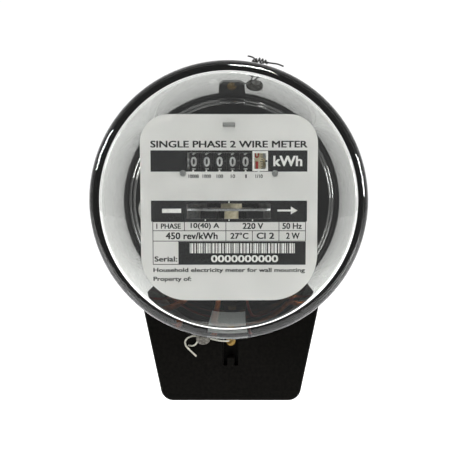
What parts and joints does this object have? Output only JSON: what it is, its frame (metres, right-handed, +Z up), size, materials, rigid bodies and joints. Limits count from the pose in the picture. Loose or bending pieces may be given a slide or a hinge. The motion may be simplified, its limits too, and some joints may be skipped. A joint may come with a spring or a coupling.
{
  "type": "electricity meter",
  "caption": "Wall-mounted single-phase induction electricity meter with a round clear glass cover, drum register, spinning disc, white nameplate and a black terminal cover below",
  "frame": {"origin": "on the glass cover's axis, in the plane of the wall", "axes": "+Y into the wall, +Z up, +X to the reader's right"},
  "size_m": [0.1406, 0.112, 0.1946],
  "materials": {
    "black_bakelite": "compression-moulded phenolic, satin black",
    "clear_glass": "pressed soda-lime glass, clear",
    "brass": "turned brass, worn nickel wash",
    "zinc_steel": "zinc-plated steel",
    "ground_steel": "ground steel rod",
    "gasket_felt": "black rubber strip",
    "cast_alloy": "die-cast aluminium alloy, as cast",
    "disc_aluminium": "rolled aluminium sheet, bright",
    "register_sheet": "pressed aluminium sheet",
    "silicon_steel": "laminated silicon steel, dark oxide",
    "nylon_cream": "moulded nylon, cream",
    "copper_wire": "enamelled copper wire",
    "red_wire": "insulated hook-up wire",
    "bearing_brass": "turned brass bearing cups",
    "gear_plastic": "moulded acetal gear",
    "drum_black": "moulded black number drum, pale printed figures",
    "drum_ivory": "moulded ivory tenths drum, red printed figures",
    "plate_white": "printed white enamel on aluminium sheet",
    "seal_lead": "crimped lead seal",
    "seal_wire_dark": "twisted seal wire, oxidised",
    "seal_wire_pale": "galvanised seal wire",
    "sticker_paper": "thin coated paper label"
  },
  "bodies": {
    "case": {"base": "black_bakelite", "base_inserts": "brass", "hanger_plate": "zinc_steel", "hanger_rivets": "zinc_steel", "cover_gasket": "gasket_felt", "terminal_block": "black_bakelite", "block_screws": "zinc_steel", "terminals": "brass", "terminal_screws": "zinc_steel", "neutral_bar": "brass", "voltage_core": "silicon_steel", "voltage_bobbin": "nylon_cream", "voltage_coil": "copper_wire", "current_core": "silicon_steel", "current_coils": "copper_wire", "current_leads": "copper_wire", "voltage_leads": "red_wire", "brake_magnet": "cast_alloy", "magnet_bracket": "zinc_steel", "magnet_screws": "zinc_steel", "frame_casting": "cast_alloy", "frame_screws": "zinc_steel", "lever_pin": "zinc_steel", "spindle_bearings": "bearing_brass", "register_frame": "register_sheet", "register_screws": "zinc_steel", "drum_shaft": "ground_steel", "transfer_shaft": "ground_steel", "nameplate": "plate_white", "nameplate_screws": "zinc_steel"},
    "glass": {"glass_cover": "clear_glass", "cover_washers": "brass", "cover_screws": "brass", "inspection_sticker": "sticker_paper", "cover_seal": "seal_lead", "cover_seal_wire": "seal_wire_dark", "cover_seal_wire_end": "seal_wire_dark"},
    "terminal_lid": {"terminal_cover": "black_bakelite", "terminal_cover_screw": "brass", "terminal_seal": "seal_lead", "terminal_seal_wire": "seal_wire_pale", "terminal_seal_wire_end": "seal_wire_pale"},
    "rotor": {"rotor_disc": "disc_aluminium", "disc_hub": "nylon_cream", "spindle": "ground_steel"},
    "worm_wheel_set": {"worm_wheel": "gear_plastic"},
    "idler": {"idler_gear": "gear_plastic"},
    "load_lever": {"low_load_lever": "register_sheet"},
    "drum_10000_body": {"drum_10000": "drum_black"},
    "drum_1000_body": {"drum_1000": "drum_black"},
    "drum_100_body": {"drum_100": "drum_black"},
    "drum_10_body": {"drum_10": "drum_black"},
    "drum_1_body": {"drum_1": "drum_black"},
    "drum_tenths_body": {"drum_tenths": "drum_ivory"},
    "pinion_1_body": {"transfer_pinion_1": "gear_plastic"},
    "pinion_2_body": {"transfer_pinion_2": "gear_plastic"},
    "pinion_3_body": {"transfer_pinion_3": "gear_plastic"},
    "pinion_4_body": {"transfer_pinion_4": "gear_plastic"},
    "pinion_5_body": {"transfer_pinion_5": "gear_plastic"}
  },
  "joints": [
    {"name": "rotor_spin", "type": "hinge", "parent": "case", "child": "rotor", "pos_m": [0, -0.052, -0.004], "axis": [0, 0, 1], "continuous": true},
    {"name": "worm_wheel_turn", "type": "hinge", "parent": "case", "child": "worm_wheel_set", "pos_m": [0, -0.06575, 0.0186], "axis": [1, 0, 0], "continuous": true},
    {"name": "idler_turn", "type": "hinge", "parent": "case", "child": "idler", "pos_m": [0.026, -0.07731, 0.02182], "axis": [1, 0, 0], "continuous": true},
    {"name": "drum_10000_turn", "type": "hinge", "parent": "case", "child": "drum_10000_body", "pos_m": [-0.0168, -0.089, 0.0191], "axis": [1, 0, 0], "continuous": true},
    {"name": "drum_1000_turn", "type": "hinge", "parent": "case", "child": "drum_1000_body", "pos_m": [-0.01065, -0.089, 0.0191], "axis": [1, 0, 0], "continuous": true},
    {"name": "drum_100_turn", "type": "hinge", "parent": "case", "child": "drum_100_body", "pos_m": [-0.0045, -0.089, 0.0191], "axis": [1, 0, 0], "continuous": true},
    {"name": "drum_10_turn", "type": "hinge", "parent": "case", "child": "drum_10_body", "pos_m": [0.00165, -0.089, 0.0191], "axis": [1, 0, 0], "continuous": true},
    {"name": "drum_1_turn", "type": "hinge", "parent": "case", "child": "drum_1_body", "pos_m": [0.0078, -0.089, 0.0191], "axis": [1, 0, 0], "continuous": true},
    {"name": "drum_tenths_turn", "type": "hinge", "parent": "case", "child": "drum_tenths_body", "pos_m": [0.01395, -0.089, 0.0191], "axis": [1, 0, 0], "continuous": true},
    {"name": "transfer_pinion_1_turn", "type": "hinge", "parent": "case", "child": "pinion_1_body", "pos_m": [-0.01372, -0.08368, 0.00989], "axis": [1, 0, 0], "continuous": true},
    {"name": "transfer_pinion_2_turn", "type": "hinge", "parent": "case", "child": "pinion_2_body", "pos_m": [-0.00758, -0.08368, 0.00989], "axis": [1, 0, 0], "continuous": true},
    {"name": "transfer_pinion_3_turn", "type": "hinge", "parent": "case", "child": "pinion_3_body", "pos_m": [-0.00143, -0.08368, 0.00989], "axis": [1, 0, 0], "continuous": true},
    {"name": "transfer_pinion_4_turn", "type": "hinge", "parent": "case", "child": "pinion_4_body", "pos_m": [0.00473, -0.08368, 0.00989], "axis": [1, 0, 0], "continuous": true},
    {"name": "transfer_pinion_5_turn", "type": "hinge", "parent": "case", "child": "pinion_5_body", "pos_m": [0.01087, -0.08368, 0.00989], "axis": [1, 0, 0], "continuous": true},
    {"name": "load_lever_swing", "type": "hinge", "parent": "case", "child": "load_lever", "pos_m": [0.02, -0.0588, -0.034], "axis": [0, 1, 0], "range_deg": [-8, 8]},
    {"name": "glass_lift", "type": "slide", "parent": "case", "child": "glass", "axis": [0, -1, 0], "range_m": [0, 0.11]},
    {"name": "terminal_lid_lift", "type": "slide", "parent": "case", "child": "terminal_lid", "axis": [0, -1, 0], "range_m": [0, 0.07]}
  ],
  "couplings": [
    {"joint": "worm_wheel_turn", "follows": "rotor_spin", "ratio": -0.02},
    {"joint": "idler_turn", "follows": "rotor_spin", "ratio": 0.0066667},
    {"joint": "drum_10000_turn", "follows": "rotor_spin", "ratio": -0.000000022222},
    {"joint": "drum_1000_turn", "follows": "rotor_spin", "ratio": -0.00000022222},
    {"joint": "drum_100_turn", "follows": "rotor_spin", "ratio": -0.0000022222},
    {"joint": "drum_10_turn", "follows": "rotor_spin", "ratio": -0.000022222},
    {"joint": "drum_1_turn", "follows": "rotor_spin", "ratio": -0.00022222},
    {"joint": "drum_tenths_turn", "follows": "rotor_spin", "ratio": -0.0022222},
    {"joint": "transfer_pinion_1_turn", "follows": "rotor_spin", "ratio": 0.000000055556},
    {"joint": "transfer_pinion_2_turn", "follows": "rotor_spin", "ratio": 0.00000055556},
    {"joint": "transfer_pinion_3_turn", "follows": "rotor_spin", "ratio": 0.0000055556},
    {"joint": "transfer_pinion_4_turn", "follows": "rotor_spin", "ratio": 0.000055556},
    {"joint": "transfer_pinion_5_turn", "follows": "rotor_spin", "ratio": 0.00055556}
  ]
}
